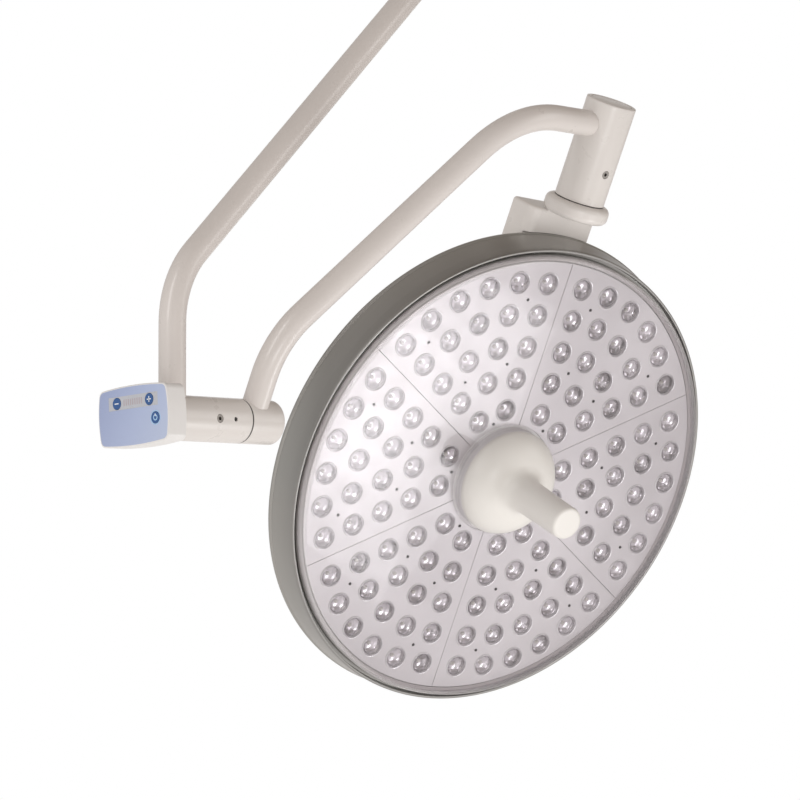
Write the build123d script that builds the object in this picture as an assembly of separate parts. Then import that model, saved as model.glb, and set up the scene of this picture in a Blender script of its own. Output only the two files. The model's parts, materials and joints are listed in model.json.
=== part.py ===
from build123d import *

import os
from math import cos, radians, sin

# Surgical light on a double yoke: a fixed spindle, an outer arm that swivels about the vertical,
# an inner arm that tilts about a level axis, and a round head that turns on the inner arm.
# Millimetres.  Origin: centre of the spindle's shoulder, +Z up, +X from the tilt knuckle to the head.

# ---- layout, measured from the point where the tilt and turn axes cross ----
swivel_knuckle_top = 786.0      # open end of the swivel knuckle above the crossing
arm_tilt = 24.59                # inner arm from upright, about +X
head_turn = -10.77              # head on the inner arm, about the turn axis
head_drop = 52.6                # head centre below the crossing, along the turn axis
head_forward = 31.6             # lens plane in front of the turn axis

# ---- arms ----
tube_d = 35.0
tube_wall = 2.5
tube_bend_r = (130.0, 175.0)    # lower and upper bend of each arm
outer_leg_x = -624.6            # upright leg of the outer arm
outer_corner_z = 174.6
outer_shoulder_x = -94.2        # where the sloping run meets the level one
inner_corner_z = 112.5
inner_shoulder_x = -176.1
tube_to_cap = 34.4              # tube centre to the capped end of a 70 mm knuckle
cable_hole_d = 12.0

# ---- knuckles ----
knuckle_d = 70.0                # swivel and turn knuckles
knuckle_length = 140.4
knuckle_above_rim = 59.0        # open end of the turn knuckle above the rim, along the turn axis
tilt_d = 58.0
tilt_open_x = -510.2            # open end of the tilt knuckle
tilt_closed_x = -660.0          # end that carries the control box
hub_before_tube = 2.7           # hub from its open end to the inner arm's tube
hub_past_tube = 19.1            # hub beyond that tube
tilt_hub_round = 9.0
housing_edge = 0.8              # rounding of every open end
gap = 2.0                       # gap ring between the two halves of a knuckle
gap_ring_step = 1.2             # the gap ring lies this much below the surface
shaft_d = 36.0
shaft_bore_d = 18.0
running_clearance = 0.05
bush_wall = 3.0
bush_length = 22.0
bearing_length = 96.0           # stretch of a housing that holds the bushes
chamber_d = 46.0
nut_d = 43.0
nut_length = 10.0
nut_thread_d = 30.0
axial_play = 0.2
cap_d = 57.0                    # disc let into the capped end of a housing
cap_disc = 5.0
cap_spigot = 10.0
cap_round = 1.0
cap_sink = 0.3
cap_joint = 0.4
brake_screw_d = 11.5
brake_screw_head = 5.0
brake_hex = 5.0
brake_shoe_length = 3.6
brake_gap = 0.1
brake_z = 58.0                  # brake screw above the open end, tilt knuckle
turn_brake_z = 46.0
turn_brake_angle = -7.6
stop_screw_d = 6.0
stop_screw_z = 30.4
stop_screw_sink = 2.0

# ---- spindle ----
spindle_d = 30.0
spindle_length = 60.0
spindle_collar_d = 62.0
spindle_collar_length = 12.0

# ---- control box ----
box_face_x = -691.0
box_roll = 3.5                  # the box is turned this much about the tilt axis
box_half_width = 61.0           # at the corners, before the sides bulge
box_half_height = 35.0
box_bulge_side = 3.6
box_bulge_top = 3.5
box_corner_r = 9.0
box_wall = 2.5
box_edge_r = 1.6
box_back_plate = 4.0
frame_side = 1.8                # white frame round the faceplate
faceplate_t = 1.2
front_wall = 2.0
display_size = (90.0, 17.0)
display_centre = (0.7, 17.5)
display_t = 1.0
button_d = 14.6
button_clearance = 0.4
button_proud = 0.5
button_travel = 0.8
button_flange_d = 18.0
button_flange_t = 1.0
button_stem_d = 5.0
button_play = 0.2
buttons = {
    "dimmer_down_button": (-29.2, 17.4),
    "dimmer_up_button": (30.1, 17.5),
    "power_button": (40.5, -6.4),
}
board_size = (93.0, 58.0)
board_t = 1.6
board_behind_wall = 10.0
switch_size = 6.0
switch_t = 3.0
box_screw_at = (52.0, 23.0)
box_boss_d = 8.0
box_screw_d = 3.0
box_screw_head_d = 5.6
box_screw_head = 2.2
mount_screws = 4
mount_screw_turn = 45.0
mount_screw_pcd = 52.0
mount_screw_d = 3.5
mount_screw_head_d = 5.5
mount_screw_head = 3.0
mount_screw_grip = 9.0

# ---- head, as radius and height above the lens plane ----
head_r = 344.0
rim_depth = 56.0
rim_wall = 4.0
rim_taper = 8.0                 # the rim draws in this much from its ridge to the back
ridge_depth = 48.0
lip_inside_rim = 8.0
lip_height = 2.0
lip_wall = 3.0
groove_depth = 9.0
cover_inside_rim = 17.0
cover_height = 13.0
cover_wall = 2.5
cover_foot = 1.5
seal_width = 7.0
panel_inside_rim = 26.0
panel_t = 3.0
panel_gap = 1.2
panel_hole_r = 80.0
seat_width = 16.0
seat_t = 9.0
base_t = 4.0
base_hole_r = 30.0
base_clearance = 0.5
base_behind_lenses = 37.0
board_gap = 6.0
back_depth = 108.0
back_corner_in = (20.0, 55.0)    # the back's two corners, inside the rim's radius
back_corner_z = (66.0, 86.0)    # and behind the lens plane
back_crown_r = 160.0            # where the back turns into its flat crown
back_crown_drop = 4.0
back_wall = 3.0
sectors = 6
row_offset = 62.0               # lens rows are arcs about a point this far out on a panel's midline
row_first = 44.5
row_margin = 25.1               # from the last row's centres to the panel's edge
row_spread = 60.2               # every row fans out over this angle about that point
row_counts = (2, 3, 4, 5, 6)
lens_d = 30.5
lens_height = 6.5
screw_spots = ((264.0, -17.8), (264.0, 17.8), (172.6, -11.5), (172.6, 11.5), (88.0, 0.0))
panel_screw_d = 5.0
panel_screw_head = 1.2
panel_screw_length = 6.0

# ---- bracket ----
collar_d = 91.0
collar_length = 24.0
collar_round = 9.0
block_width = 117.0
block_front = 48.0              # behind the lens plane
block_back = 99.0
block_overlap = 82.0            # how far the block reaches down behind the rim
block_round = 15.0
block_edge = 5.0
shaft_in_collar = 18.0

# ---- handle ----
dome_r = 75.5
dome_base = 14.0
dome_side = 4.0
dome_height = 38.0
dome_wall = 3.0
grip_root_r = 24.5
grip_tip_r = 23.0
grip_end = 163.0
grip_edge = 5.0
core_shaft_d = 36.0
core_flange_r = 68.0
core_flange_t = 4.0
core_stem_d = 27.0
core_stem_end = 140.0
handle_clearance = 0.4
collar_ring_r = 80.0
collar_ring_wall = 3.0
collar_ring_top = 17.0
hub_flange_r = 44.0
hub_wall = 6.0
latch_angles = (-46.0, 134.0)
latch_size = (10.0, 4.0, 6.0)
driver_size = (150.0, 90.0, 24.0)
driver_below_centre = 110.0

# ---- worked out ----
inner_leg_x = tilt_open_x + gap + hub_before_tube + tube_d / 2
tilt_hub_end_x = inner_leg_x + tube_d / 2 + hub_past_tube
lip_r = head_r - lip_inside_rim
cover_r = head_r - cover_inside_rim
panel_r = head_r - panel_inside_rim
block_foot = head_r - block_overlap
turn_knuckle_z = head_r + knuckle_above_rim - head_drop
row_pitch = (panel_r - row_margin - row_offset - row_first) / (len(row_counts) - 1)

# ---- frames ----
pivot_drop = swivel_knuckle_top + gap + spindle_collar_length
crossing = Pos(0, 0, -pivot_drop)
arm_frame = crossing * Rot(X=arm_tilt)
head_frame = arm_frame * Rot(Z=head_turn) * Pos(0, -head_forward, -head_drop) * Rot(X=90)
swivel_frame = crossing * Pos(0, 0, swivel_knuckle_top) * Rot(X=180)
tilt_frame = crossing * Pos(tilt_open_x, 0, 0) * Rot(Y=-90)
turn_frame = arm_frame * Pos(0, 0, turn_knuckle_z)
box_plane = Plane(origin=(box_face_x, 0, 0), x_dir=(0, -1, 0), z_dir=(-1, 0, 0))
box_frame = crossing * box_plane.location * Rot(Z=box_roll)

tilt_length = tilt_open_x - tilt_closed_x
box_depth = tilt_closed_x - box_face_x
outer_top_z = swivel_knuckle_top - knuckle_length + tube_to_cap
inner_top_z = turn_knuckle_z + knuckle_length - tube_to_cap
bush_d = shaft_d + 2 * (running_clearance + bush_wall)
seat_height = -panel_t
cover_top = cover_height
base_front = -base_behind_lenses

parts = {}


def rod(d, low, high):
    """Solid cylinder about Z between two heights."""
    return Pos(0, 0, low) * Cylinder(d / 2, high - low, align=(Align.CENTER, Align.CENTER, Align.MIN))


def tube(outer_d, inner_d, low, high):
    """Hollow cylinder about Z between two heights."""
    return rod(outer_d, low, high) - rod(inner_d, low - 1, high + 1)


def turned(*corners):
    """Solid of revolution about Z from (radius, height) corners."""
    outline = Polyline(*[(r, 0, z) for r, z in corners], close=True)
    return revolve(make_face(outline), Axis.Z)


def bent_tube(points, end_cuts):
    """Round tube along a bent run in the XZ plane, coped to the cylinders that it meets."""
    path = FilletPolyline(*[(x, 0, z) for x, z in points], radius=tube_bend_r)
    section = Plane(origin=path @ 0, z_dir=path % 0)
    outer = sweep(section * Circle(tube_d / 2), path)
    inner = sweep(section * Circle(tube_d / 2 - tube_wall), path)
    solid = outer - inner
    for cut in end_cuts:
        solid = solid - cut
    return solid


# ---- knuckles ----

def knuckle_housing(d, length, tube_z, tube_angle):
    """Bearing housing: bush bore, chamber for the nut and a cable hole under the arm's tube."""
    body = rod(d, 0, length)
    body = fillet(body.edges().filter_by(GeomType.CIRCLE), housing_edge)
    body -= rod(bush_d, -1, bearing_length)
    body -= rod(chamber_d, bearing_length, length + 1)
    hole = Rot(Z=tube_angle) * Pos(0, 0, tube_z) * Rot(Y=90) * rod(cable_hole_d, 0, d)
    return body - hole


def brake_bore(d, angle, height, bore_d):
    """Radial bore for a screw, from the surface to the shaft."""
    return Rot(Z=angle) * Pos(0, 0, height) * Rot(X=90) * rod(bore_d, shaft_d / 2, d)


def brake_screw(d, angle, height):
    """Socket set screw, flush with the housing, that presses the brake shoe."""
    low = shaft_d / 2 + brake_gap + brake_shoe_length
    high = d / 2 - 0.6
    screw = rod(brake_screw_d, low, high)
    key = extrude(RegularPolygon(brake_hex / 2, 6), brake_screw_head + 1)
    screw -= Pos(0, 0, high - brake_screw_head) * key
    screw = chamfer(screw.edges().filter_by(GeomType.CIRCLE).sort_by(Axis.Z)[-1], 0.6)
    return Rot(Z=angle) * Pos(0, 0, height) * Rot(X=90) * screw


def brake_shoe(angle, height):
    """Plastic plug between the brake screw and the shaft."""
    low = shaft_d / 2 + brake_gap
    shoe = rod(brake_screw_d, low, low + brake_shoe_length)
    return Rot(Z=angle) * Pos(0, 0, height) * Rot(X=90) * shoe


def knuckle_bushes(bores):
    """Two plain bushes, one at each end of the bearing stretch."""
    bore_d = shaft_d + 2 * running_clearance
    low = tube(bush_d, bore_d, 0, bush_length)
    high = tube(bush_d, bore_d, bearing_length - bush_length, bearing_length)
    for bore in bores:
        low -= bore
        high -= bore
    return Compound(children=[low.solid(), high.solid()])


def gap_ring(d):
    """Black ring between the two halves of a knuckle."""
    return tube(d - 2 * gap_ring_step, shaft_d + 2 * running_clearance + 1.0, -gap + axial_play, 0)


def shaft_profile(foot):
    """Hollow shaft from a foot below the open end up to the nut's thread."""
    shoulder = bearing_length + axial_play
    top = shoulder + nut_length
    return [
        (shaft_bore_d / 2, foot),
        (shaft_d / 2, foot),
        (shaft_d / 2, shoulder),
        (nut_thread_d / 2, shoulder),
        (nut_thread_d / 2, top),
        (shaft_bore_d / 2, top),
    ]


def shaft_nut():
    """Ring nut that keeps the shaft in its housing."""
    low = bearing_length + axial_play
    nut = tube(nut_d, nut_thread_d, low, low + nut_length)
    for turn in range(4):
        notch = Rot(Z=90 * turn) * Pos(nut_d / 2, 0, low + nut_length) * Box(5, 5, 5)
        nut -= notch
    return nut


def cap_seat(length):
    """Recess for the cap's disc in a housing's end."""
    return rod(cap_d + 2 * cap_joint, length - cap_disc, length + 1)


def knuckle_cap(length):
    """Disc let into the housing's end, with a spigot in the chamber and a fine joint round it."""
    low = length - cap_disc
    disc = rod(cap_d, low, length - cap_sink)
    disc = fillet(disc.edges().sort_by(Axis.Z)[-1], cap_round)
    return disc + rod(chamber_d, low - cap_spigot, low)


def add_knuckle(name, frame, d, length, tube_z, tube_angle, screw_z, screw_angle, stop_z=None):
    """Everything on a knuckle's housing side, and its shaft nut."""
    bores = [brake_bore(d, screw_angle, screw_z, brake_screw_d)]
    if stop_z is not None:
        bores.append(brake_bore(d, screw_angle, stop_z, stop_screw_d))
    housing = knuckle_housing(d, length, tube_z, tube_angle)
    for bore in bores:
        housing -= bore
    parts[name + "_housing"] = frame * housing
    parts[name + "_bushes"] = frame * knuckle_bushes(bores)
    parts[name + "_gap_ring"] = frame * gap_ring(d)
    parts[name + "_brake_screw"] = frame * brake_screw(d, screw_angle, screw_z)
    parts[name + "_brake_shoe"] = frame * brake_shoe(screw_angle, screw_z)
    parts[name + "_shaft_nut"] = frame * shaft_nut()


def swivel_knuckle():
    """Top knuckle: the outer arm turns about the fixed spindle."""
    tube_z = knuckle_length - tube_to_cap
    add_knuckle("swivel", swivel_frame, knuckle_d, knuckle_length, tube_z, 180, turn_brake_z, 180)
    parts["swivel_housing"] -= swivel_frame * cap_seat(knuckle_length)
    parts["swivel_cap"] = swivel_frame * knuckle_cap(knuckle_length)
    collar_low = -gap - spindle_collar_length
    profile = shaft_profile(collar_low - spindle_length)
    tip = collar_low - spindle_length
    profile[1:2] = [
        (spindle_d / 2 - 1.5, tip),
        (spindle_d / 2, tip + 1.5),
        (spindle_d / 2, collar_low),
        (spindle_collar_d / 2 - 2, collar_low),
        (spindle_collar_d / 2, collar_low + 2),
        (spindle_collar_d / 2, -gap),
        (shaft_d / 2, -gap),
    ]
    parts["mounting_spindle"] = swivel_frame * turned(*profile)


def tilt_knuckle():
    """Level knuckle at the foot of the outer arm; its free end carries the control box."""
    tube_z = tilt_open_x - outer_leg_x
    add_knuckle("tilt", tilt_frame, tilt_d, tilt_length, tube_z, 0, brake_z, 0, stop_screw_z)
    screw = rod(stop_screw_d, shaft_d / 2 + brake_gap, tilt_d / 2 - stop_screw_sink)
    parts["tilt_stop_screw"] = tilt_frame * Pos(0, 0, stop_screw_z) * Rot(X=90) * screw
    thread = rod(mount_screw_d, tilt_length - mount_screw_grip, tilt_length + 1)
    for i in range(mount_screws):
        spot = Rot(Z=mount_screw_turn + 360 / mount_screws * i) * Pos(mount_screw_pcd / 2, 0, 0)
        parts["tilt_housing"] -= tilt_frame * spot * thread


def turn_knuckle():
    """Knuckle at the top of the inner arm: the head turns in it."""
    tube_z = knuckle_length - tube_to_cap
    place = (knuckle_d, knuckle_length, tube_z, 180, turn_brake_z, turn_brake_angle)
    add_knuckle("turn", turn_frame, *place)
    parts["turn_housing"] -= turn_frame * cap_seat(knuckle_length)
    parts["turn_cap"] = turn_frame * knuckle_cap(knuckle_length)
    parts["turn_shaft"] = turn_frame * turned(*shaft_profile(-gap - shaft_in_collar))


# ---- arms ----

def outer_arm():
    """Bent tube from the swivel knuckle down to the tilt knuckle."""
    leg = [(outer_leg_x, 0), (outer_leg_x, outer_corner_z)]
    points = leg + [(outer_shoulder_x, outer_top_z), (0, outer_top_z)]
    swivel = rod(knuckle_d, outer_top_z - knuckle_d, outer_top_z + knuckle_d)
    tilt = Pos(outer_leg_x, 0, 0) * Rot(Y=90) * rod(tilt_d, -knuckle_d, knuckle_d)
    parts["outer_arm_tube"] = crossing * bent_tube(points, [swivel, tilt])


def inner_arm():
    """Bent tube and end hub from the tilt knuckle up to the turn knuckle, with the tilt shaft."""
    leg = [(inner_leg_x, 0), (inner_leg_x, inner_corner_z)]
    points = leg + [(inner_shoulder_x, inner_top_z), (0, inner_top_z)]
    turn = rod(knuckle_d, inner_top_z - knuckle_d, inner_top_z + knuckle_d)
    hub_low = tilt_open_x + gap
    level = Rot(Y=90)
    hub = level * rod(tilt_d, hub_low, tilt_hub_end_x)
    parts["inner_arm_tube"] = arm_frame * bent_tube(points, [turn, hub])
    hub = fillet(hub.edges().filter_by(GeomType.CIRCLE).sort_by(Axis.X)[-1], tilt_hub_round)
    hub = fillet(hub.edges().filter_by(GeomType.CIRCLE).sort_by(Axis.X)[0], housing_edge)
    shaft_foot = hub_low + 2 * (inner_leg_x - hub_low)
    hub -= level * rod(shaft_d, hub_low - 1, shaft_foot)
    cable = Pos(inner_leg_x, 0, 0) * rod(cable_hole_d, 0, tilt_d)
    parts["tilt_hub"] = arm_frame * (hub - cable)
    shaft = turned(*shaft_profile(tilt_open_x - shaft_foot))
    local_cable = arm_frame * cable
    parts["tilt_shaft"] = tilt_frame * shaft - local_cable


# ---- control box ----

def box_outline(inset):
    """Rounded rectangle with gently bowed sides."""
    w = box_half_width - inset
    h = box_half_height - inset
    right = ThreePointArc((w, -h), (w + box_bulge_side, 0), (w, h))
    top = ThreePointArc((w, h), (0, h + box_bulge_top), (-w, h))
    left = ThreePointArc((-w, h), (-w - box_bulge_side, 0), (-w, -h))
    bottom = ThreePointArc((-w, -h), (0, -h - box_bulge_top), (w, -h))
    face = make_face(Curve() + [right, top, left, bottom])
    return fillet(face.vertices(), box_corner_r - inset * 0.6)


def box_slab(inset, low, high):
    """The box outline, drawn in by an inset, between two depths."""
    return Pos(0, 0, low) * extrude(box_outline(inset), high - low)


def box_corners():
    """Places of the four box screws."""
    x, y = box_screw_at
    return [Pos(i * x, j * y, 0) for i in (-1, 1) for j in (-1, 1)]


def control_box():
    """Box, faceplate, display, board and buttons, seen with +Z towards the user."""
    back = -box_depth
    joint = back + box_back_plate
    wall_back = -faceplate_t - front_wall
    body = box_slab(0, joint, 0)
    body = fillet(body.faces().sort_by(Axis.Z)[-1].edges(), box_edge_r)
    body -= box_slab(box_wall, joint - 1, wall_back)
    body -= box_slab(frame_side, -faceplate_t, 1)
    face = box_slab(frame_side, -faceplate_t, 0)
    strip = Pos(display_centre[0], display_centre[1], 0) * Box(*display_size, 2 * faceplate_t)
    window = Pos(*display_centre, -faceplate_t) * extrude(Rectangle(*display_size), display_t)
    face -= strip
    for corner in box_corners():
        body += corner * rod(box_boss_d, joint, wall_back)
        body -= corner * rod(box_screw_d, joint - 1, joint + 8)
    hole_d = button_d + 2 * button_clearance
    board_top = wall_back - board_behind_wall
    stem_end = board_top + switch_t + button_travel + button_play
    for name, (x, y) in buttons.items():
        spot = Pos(x, y, 0)
        hole = spot * rod(hole_d, wall_back - 1, 1)
        body -= hole
        face -= hole
        window -= hole
        cap = rod(button_d, wall_back - button_play - button_flange_t, button_proud)
        cap = fillet(cap.edges().filter_by(GeomType.CIRCLE).sort_by(Axis.Z)[-1], 0.4)
        low = wall_back - button_play - button_flange_t
        cap += rod(button_flange_d, low, low + button_flange_t)
        cap += rod(button_stem_d, stem_end, low)
        parts[name] = box_frame * spot * cap
    parts["control_box_body"] = box_frame * body
    parts["control_faceplate"] = box_frame * face
    parts["display_strip"] = box_frame * window
    board = Pos(0, 0, board_top - board_t) * extrude(Rectangle(*board_size), board_t)
    parts["control_circuit_board"] = box_frame * board
    switch = Pos(0, 0, board_top) * extrude(Rectangle(switch_size, switch_size), switch_t)
    switches = [box_frame * Pos(x, y, 0) * switch for x, y in buttons.values()]
    parts["key_switches"] = Compound(children=[s.solid() for s in switches])


def control_box_back():
    """Back plate of the box, bolted to the knuckle from inside, and its screws."""
    back = -box_depth
    joint = back + box_back_plate
    plate = box_slab(0, back, joint)
    plate = fillet(plate.faces().sort_by(Axis.Z)[0].edges(), box_edge_r)
    plate -= rod(cable_hole_d, back - 1, joint + 1)
    screws = []
    for corner in box_corners():
        screw = rod(box_screw_head_d, back - box_screw_head, back) + rod(box_screw_d, back, joint + 8)
        screws.append((box_frame * corner * screw).solid())
        plate -= corner * rod(box_screw_d, back - 1, joint + 1)
    parts["control_box_screws"] = Compound(children=screws)
    plate = box_frame * plate
    bolts = []
    for i in range(mount_screws):
        turn = Rot(Z=mount_screw_turn + 360 / mount_screws * i)
        spot = tilt_frame * turn * Pos(mount_screw_pcd / 2, 0, tilt_length)
        shank = rod(mount_screw_d, -mount_screw_grip, box_back_plate)
        head = rod(mount_screw_head_d, box_back_plate, box_back_plate + mount_screw_head)
        bolts.append((spot * (shank + head)).solid())
        plate -= spot * shank
    parts["box_mount_screws"] = Compound(children=bolts)
    parts["control_box_back_plate"] = plate


# ---- head ----

def rim_ring():
    """Grey rim: flared side band, front lip and the seat for panels and cover."""
    seat_r = panel_r - 6.0
    groove_r = seat_r + seat_width
    ring = turned(
        (lip_r, lip_height),
        (lip_r + 1.0, -2.0),
        (head_r - 6.0, -16.0),
        (head_r - 1.5, 3.0 - ridge_depth),
        (head_r, -ridge_depth),
        (head_r - 0.6, -3.0 - ridge_depth),
        (head_r - rim_taper, -rim_depth),
        (head_r - rim_taper - rim_wall, -rim_depth),
        (head_r - rim_wall - 1.0, -2.0 - ridge_depth),
        (head_r - 9.0, -19.0),
        (head_r - 15.0, seat_height - seat_t),
        (seat_r, seat_height - seat_t),
        (seat_r, seat_height),
        (groove_r, seat_height),
        (groove_r, -groove_depth),
        (lip_r - lip_wall - 1.0, -groove_depth),
        (lip_r - lip_wall, lip_height),
    )
    parts["rim_ring"] = head_frame * ring


def back_profile(inset):
    """Outer corners of the shallow back, drawn in by an inset."""
    return [
        (head_r - rim_taper - 1.0 - inset, -rim_depth),
        (head_r - back_corner_in[0] - inset, -back_corner_z[0] + inset * 0.5),
        (head_r - back_corner_in[1] - inset * 0.5, -back_corner_z[1] + inset),
        (back_crown_r, -back_depth + back_crown_drop + inset),
        (0.0, -back_depth + inset),
    ]


def back_solid():
    """The back cover's outer shape, filled."""
    return turned((0.0, -rim_depth), *back_profile(0.0))


def back_cover():
    """Shallow domed shell behind the rim."""
    inner = back_profile(back_wall)
    inner.reverse()
    shell = turned(*back_profile(0.0), *inner)
    parts["back_cover"] = head_frame * shell


def base_plate():
    """Plate that carries the boards and spreads their heat."""
    outer_r = head_r - rim_taper - rim_wall - base_clearance
    plate = tube(2 * outer_r, 2 * base_hole_r, base_front - base_t, base_front)
    parts["base_plate"] = head_frame * plate
    driver = Box(*driver_size, align=(Align.CENTER, Align.CENTER, Align.MAX))
    driver = Pos(0, -driver_below_centre, base_front - base_t) * driver
    parts["led_driver"] = head_frame * driver


def sector_wedge(low, high, inner_r, outer_r, side_gap):
    """One sixth of a flat ring, its midline along +Y, with a gap to its neighbours."""
    ring = tube(2 * outer_r, 2 * inner_r, low, high)
    half = 180.0 / sectors
    reach = 2 * outer_r
    for turn, way, side in ((half, 1, Align.MAX), (-half, -1, Align.MIN)):
        cut = Box(reach, 4 * reach, 4 * reach, align=(side, Align.CENTER, Align.CENTER))
        ring -= Rot(Z=turn) * Pos(way * side_gap / 2, 0, 0) * cut
    lower_half = Box(4 * reach, reach, 4 * reach, align=(Align.CENTER, Align.MAX, Align.CENTER))
    return ring - lower_half


def lens_spots():
    """Lens centres on one panel, as (x, y) with the midline along +Y."""
    spots = []
    for row, count in enumerate(row_counts):
        radius = row_first + row_pitch * row
        for i in range(count):
            angle = radians(row_spread * (i / (count - 1) - 0.5))
            spots.append((radius * sin(angle), row_offset + radius * cos(angle)))
    return spots


def lens_dome():
    """Spherical cap that stands on the panel."""
    ball_r = ((lens_d / 2) ** 2 + lens_height ** 2) / (2 * lens_height)
    ball = Pos(0, 0, lens_height - ball_r) * Sphere(ball_r)
    cut = Box(4 * ball_r, 4 * ball_r, 4 * ball_r, align=(Align.CENTER, Align.CENTER, Align.MAX))
    return ball - Pos(0, 0, -panel_t / 2) * cut


def lens_panels():
    """Six clear panels, each moulded with its lenses, and the boards behind them."""
    panel = sector_wedge(-panel_t, 0, panel_hole_r, panel_r, panel_gap)
    for r, angle in screw_spots:
        panel -= Rot(Z=angle) * Pos(0, r, 0) * rod(panel_screw_d - 2, -panel_t - 1, 1)
    dome = lens_dome()
    panel += [Pos(x, y, 0) * dome for x, y in lens_spots()]
    board = sector_wedge(base_front, base_front + board_t, base_hole_r + 26, panel_r, board_gap)
    boards = []
    screws = []
    screw = rod(panel_screw_d, 0, panel_screw_head) + rod(panel_screw_d - 2, -panel_screw_length, 0)
    for i in range(sectors):
        spin = head_frame * Rot(Z=180.0 / sectors + 360.0 / sectors * i)
        parts[f"lens_panel_{i + 1}"] = spin * panel
        boards.append((spin * board).solid())
        screws += [(spin * Rot(Z=angle) * Pos(0, r, 0) * screw).solid() for r, angle in screw_spots]
    parts["led_boards"] = Compound(children=boards)
    parts["panel_screws"] = Compound(children=screws)


def front_cover():
    """Clear cover with a rounded shoulder, its seal and the clear collar round the handle."""
    foot = seat_height + cover_foot
    round_r = cover_top - cover_foot
    hole_r = collar_ring_r - collar_ring_wall
    outer = rod(2 * cover_r, foot, cover_top)
    outer = fillet(outer.edges().sort_by(Axis.Z)[-1], round_r)
    inner = rod(2 * (cover_r - cover_wall), foot - 1, cover_top - cover_wall)
    inner = fillet(inner.edges().sort_by(Axis.Z)[-1], round_r - cover_wall)
    cover = outer - inner
    cover -= rod(2 * hole_r, foot, cover_top + 1)
    cover += tube(2 * collar_ring_r, 2 * hole_r, cover_top - cover_wall - 4, collar_ring_top)
    parts["front_cover"] = head_frame * cover
    seal = tube(2 * cover_r, 2 * (cover_r - seal_width), seat_height, foot)
    parts["cover_seal"] = head_frame * seal


def head_bracket():
    """Collar on the turn shaft and the block that carries the head's back."""
    low = turn_knuckle_z - gap + head_drop - collar_length
    collar = rod(collar_d, 0, collar_length)
    collar = fillet(collar.edges().filter_by(GeomType.CIRCLE), collar_round)
    collar -= rod(shaft_d, collar_length - shaft_in_collar, collar_length + 1)
    collar = Pos(0, low, -head_forward) * Rot(X=-90) * collar
    depth = block_back - block_front
    block = Pos(0, (block_foot + low) / 2, -(block_front + block_back) / 2)
    block *= Box(block_width, low - block_foot, depth)
    front = block.edges().filter_by(Axis.Y).sort_by(Axis.Z)[-2:]
    block = fillet(front, block_round)
    rear = block.edges().filter_by(Axis.Y).sort_by(Axis.Z)[:2]
    block = fillet(rear, block_edge)
    block = fillet(block.faces().sort_by(Axis.Y)[-1].edges(), block_edge)
    neck = rod(collar_d - 2 * collar_round, 0, 3 * block_edge)
    neck = Pos(0, low - 2 * block_edge, -head_forward) * Rot(X=-90) * neck
    behind = Box(block_width, 8 * block_edge, 4 * depth, align=(Align.CENTER, Align.CENTER, Align.MAX))
    neck &= Pos(0, low, -block_front) * behind
    bracket = block + neck + collar - back_solid()
    bracket -= rod(2 * head_r + 0.6, -rim_depth - 0.5, 0)
    parts["head_bracket"] = head_frame * bracket


# ---- handle ----

def handle_core():
    """Turning core of the handle, its hub on the base plate and its retaining ring."""
    hub_top = dome_base - core_flange_t - 4.0
    bore_d = core_shaft_d + 2 * running_clearance
    hub = tube(2 * hub_flange_r, bore_d, base_front, base_front + 4)
    hub += tube(bore_d + 2 * hub_wall, bore_d, base_front, hub_top)
    parts["focus_hub"] = head_frame * hub
    ring_top = base_front - axial_play
    ring_low = ring_top - 5.0
    shaft = rod(core_shaft_d, ring_top, hub_top + axial_play) + rod(nut_thread_d, ring_low, ring_top)
    flange = rod(2 * core_flange_r, hub_top + axial_play, hub_top + axial_play + core_flange_t)
    stem = rod(core_stem_d, hub_top, core_stem_end)
    stem = fillet(stem.edges().filter_by(GeomType.CIRCLE).sort_by(Axis.Z)[-1], 4.0)
    core = shaft + flange + stem
    parts["focus_core"] = head_frame * core
    ring = tube(core_shaft_d + 10, nut_thread_d, ring_low, ring_top)
    parts["focus_ring"] = head_frame * ring


def sterile_handle():
    """Dome and grip in one thin moulding that slips over the core."""
    shoulder = dome_base + dome_side
    dome_end_r = grip_root_r + 15.0
    dome_end_z = shoulder + dome_height * 0.84
    root_z = dome_end_z + 20.0

    def outline(inset):
        side = Line((dome_r - inset, 0, dome_base), (dome_r - inset, 0, shoulder))
        mid = (dome_r * 0.84 - inset * 0.8, 0, shoulder + dome_height * 0.52 - inset * 0.5)
        dome = ThreePointArc(side @ 1, mid, (dome_end_r, 0, dome_end_z - inset))
        return side, dome

    side, dome = outline(0.0)
    cove = TangentArc(dome @ 1, (grip_root_r, 0, root_z), tangent=dome % 1)
    grip = Line(cove @ 1, (grip_tip_r, 0, grip_end - grip_edge))
    edge = ThreePointArc(
        grip @ 1,
        (grip_tip_r - grip_edge * 0.29, 0, grip_end - grip_edge * 0.29),
        (grip_tip_r - grip_edge, 0, grip_end),
    )
    top = Line(edge @ 1, (0, 0, grip_end))
    axis = Line(top @ 1, (0, 0, dome_base))
    foot = Line(axis @ 1, side @ 0)
    solid = revolve(make_face(Curve() + [side, dome, cove, grip, edge, top, axis, foot]), Axis.Z)
    in_side, in_dome = outline(dome_wall)
    in_top = Line(in_dome @ 1, (0, 0, dome_end_z - dome_wall))
    in_axis = Line(in_top @ 1, (0, 0, dome_base))
    in_foot = Line(in_axis @ 1, in_side @ 0)
    hollow = revolve(make_face(Curve() + [in_side, in_dome, in_top, in_axis, in_foot]), Axis.Z)
    bore = rod(core_stem_d + 2 * handle_clearance, dome_base - 1, core_stem_end + 2)
    handle = solid - hollow - bore
    latch = Box(*latch_size, align=(Align.CENTER, Align.CENTER, Align.MIN))
    latches = []
    for angle in latch_angles:
        spot = Rot(Z=-angle) * Pos(0, core_flange_r + latch_size[1] / 2, dome_base - core_flange_t)
        latches.append((head_frame * spot * latch).solid())
    parts["sterile_handle"] = head_frame * handle
    parts["latch_clips"] = Compound(children=latches)


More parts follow.
